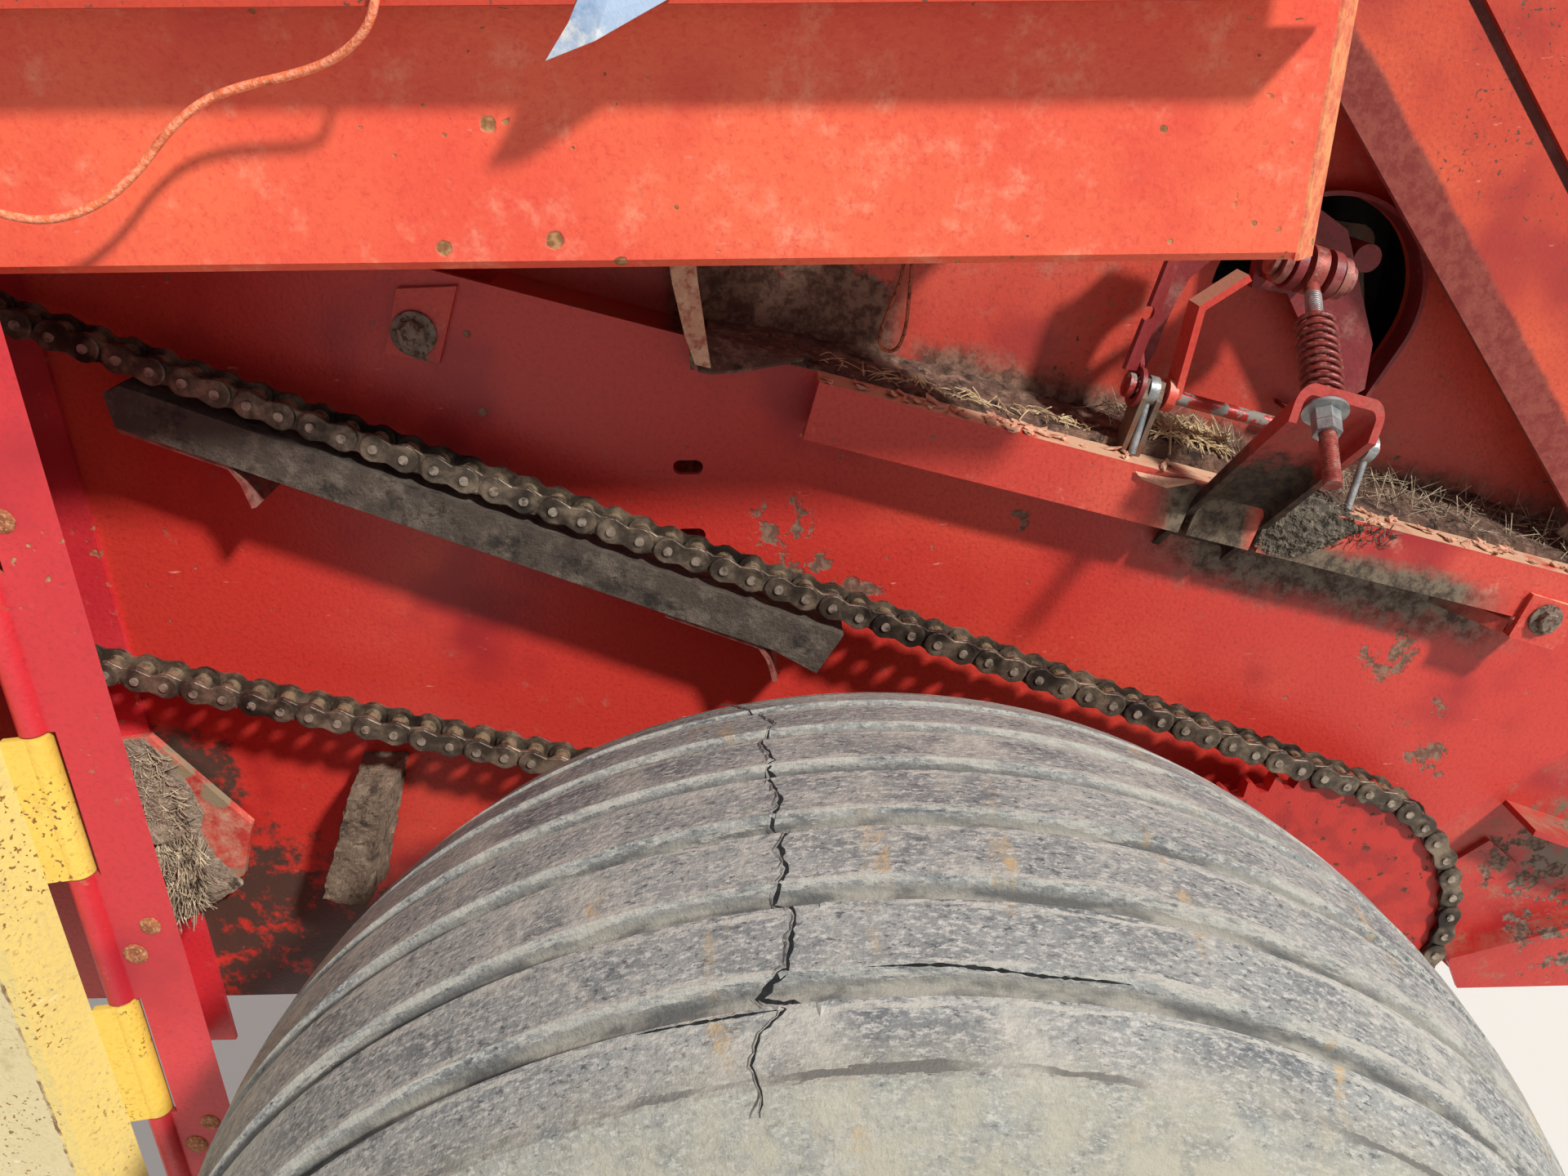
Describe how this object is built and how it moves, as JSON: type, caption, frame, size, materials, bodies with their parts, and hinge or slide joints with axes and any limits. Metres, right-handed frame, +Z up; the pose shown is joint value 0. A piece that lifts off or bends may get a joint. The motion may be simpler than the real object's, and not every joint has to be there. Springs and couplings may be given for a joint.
{
  "type": "drive side of a round baler",
  "caption": "Side of a round baler: sheet walls, roller chain over sprockets, guards, a hinged door, a sprung latch linkage, and a stub axle with an implement wheel.",
  "frame": {"origin": "on the wheel's axis, at the inboard face of the axle flange, in the plane of the inner sheet's inboard face", "axes": "+X to the rear of the machine, +Y inboard along the wheel's axis, +Z up"},
  "size_m": [1.48, 0.5981, 1.4417],
  "materials": {
    "red_paint": "faded by the sun, chipped",
    "yellow_paint": "satin, rust specks",
    "cream_paint": "satin, dusty",
    "rim_paint": "satin, dusty",
    "chain_steel": "oily and dusty",
    "dark_steel": "rust film",
    "bright_steel": "worn bright",
    "galvanised": "dull zinc",
    "cast_housing": "painted, dusty",
    "guide_plastic": "worn, dusty",
    "seal_rubber": "matt",
    "tyre": "weathered, cracked",
    "twine": "frayed"
  },
  "bodies": {
    "baler_side": {"side_sheet": "red_paint", "inner_sheet": "red_paint", "opening_rim": "red_paint", "shelf": "red_paint", "ledge_rail": "red_paint", "sill_beam": "red_paint", "stub_axle": "red_paint", "drive_chain": "chain_steel", "floor_roll_sprocket": "dark_steel", "starter_roll_sprocket": "dark_steel", "gearbox_sprocket": "dark_steel", "idler_sprocket": "dark_steel", "roll_shafts": "bright_steel", "flange_bearings": "cast_housing", "idler_arm": "red_paint", "chain_guide": "guide_plastic", "guide_clips": "galvanised", "guard_panel": "red_paint", "panel_brackets": "red_paint", "top_rail": "red_paint", "front_closure": "red_paint", "fixed_knuckles": "red_paint", "hinge_pin": "bright_steel", "door_jamb": "red_paint", "tension_bracket": "red_paint", "tension_rod": "bright_steel", "tension_nuts": "galvanised", "tension_spring": "dark_steel", "crank_pin": "dark_steel", "bell_crank": "red_paint", "inner_links": "dark_steel", "latch_shaft": "bright_steel", "latch_ears": "dark_steel", "latch_lever": "dark_steel", "shaft_loops": "galvanised", "release_bar": "red_paint", "opening_pan": "dark_steel", "diagonal_post": "red_paint", "gate_edge": "red_paint", "gate_seal": "seal_rubber", "rear_strap": "red_paint", "rear_foot": "red_paint", "rear_rib": "red_paint", "rear_web": "red_paint", "bolt_tab": "red_paint", "z_tab": "red_paint", "gusset": "red_paint", "caked_stub": "red_paint"},
    "wheel": {"tyre": "tyre", "rim": "rim_paint", "hub": "red_paint", "hub_cap": "galvanised", "wheel_nuts": "galvanised"},
    "door": {"front_door": "cream_paint", "door_knuckles": "yellow_paint"},
    "shield": {"side_shield": "red_paint", "twine": "twine", "twine_knots": "twine"}
  },
  "joints": [
    {"name": "wheel_spin", "type": "hinge", "parent": "baler_side", "child": "wheel", "pos_m": [0, -0.3566, 0], "axis": [0, 1, 0], "continuous": true},
    {"name": "door_hinge", "type": "hinge", "parent": "baler_side", "child": "door", "pos_m": [-0.449, -0.252, 0.27], "axis": [0, 0, 1], "range_deg": [0, 90]},
    {"name": "shield_hinge", "type": "hinge", "parent": "baler_side", "child": "shield", "pos_m": [-0.26, -0.058, 1.04], "axis": [-1, 0, 0], "range_deg": [0, 100]}
  ]
}
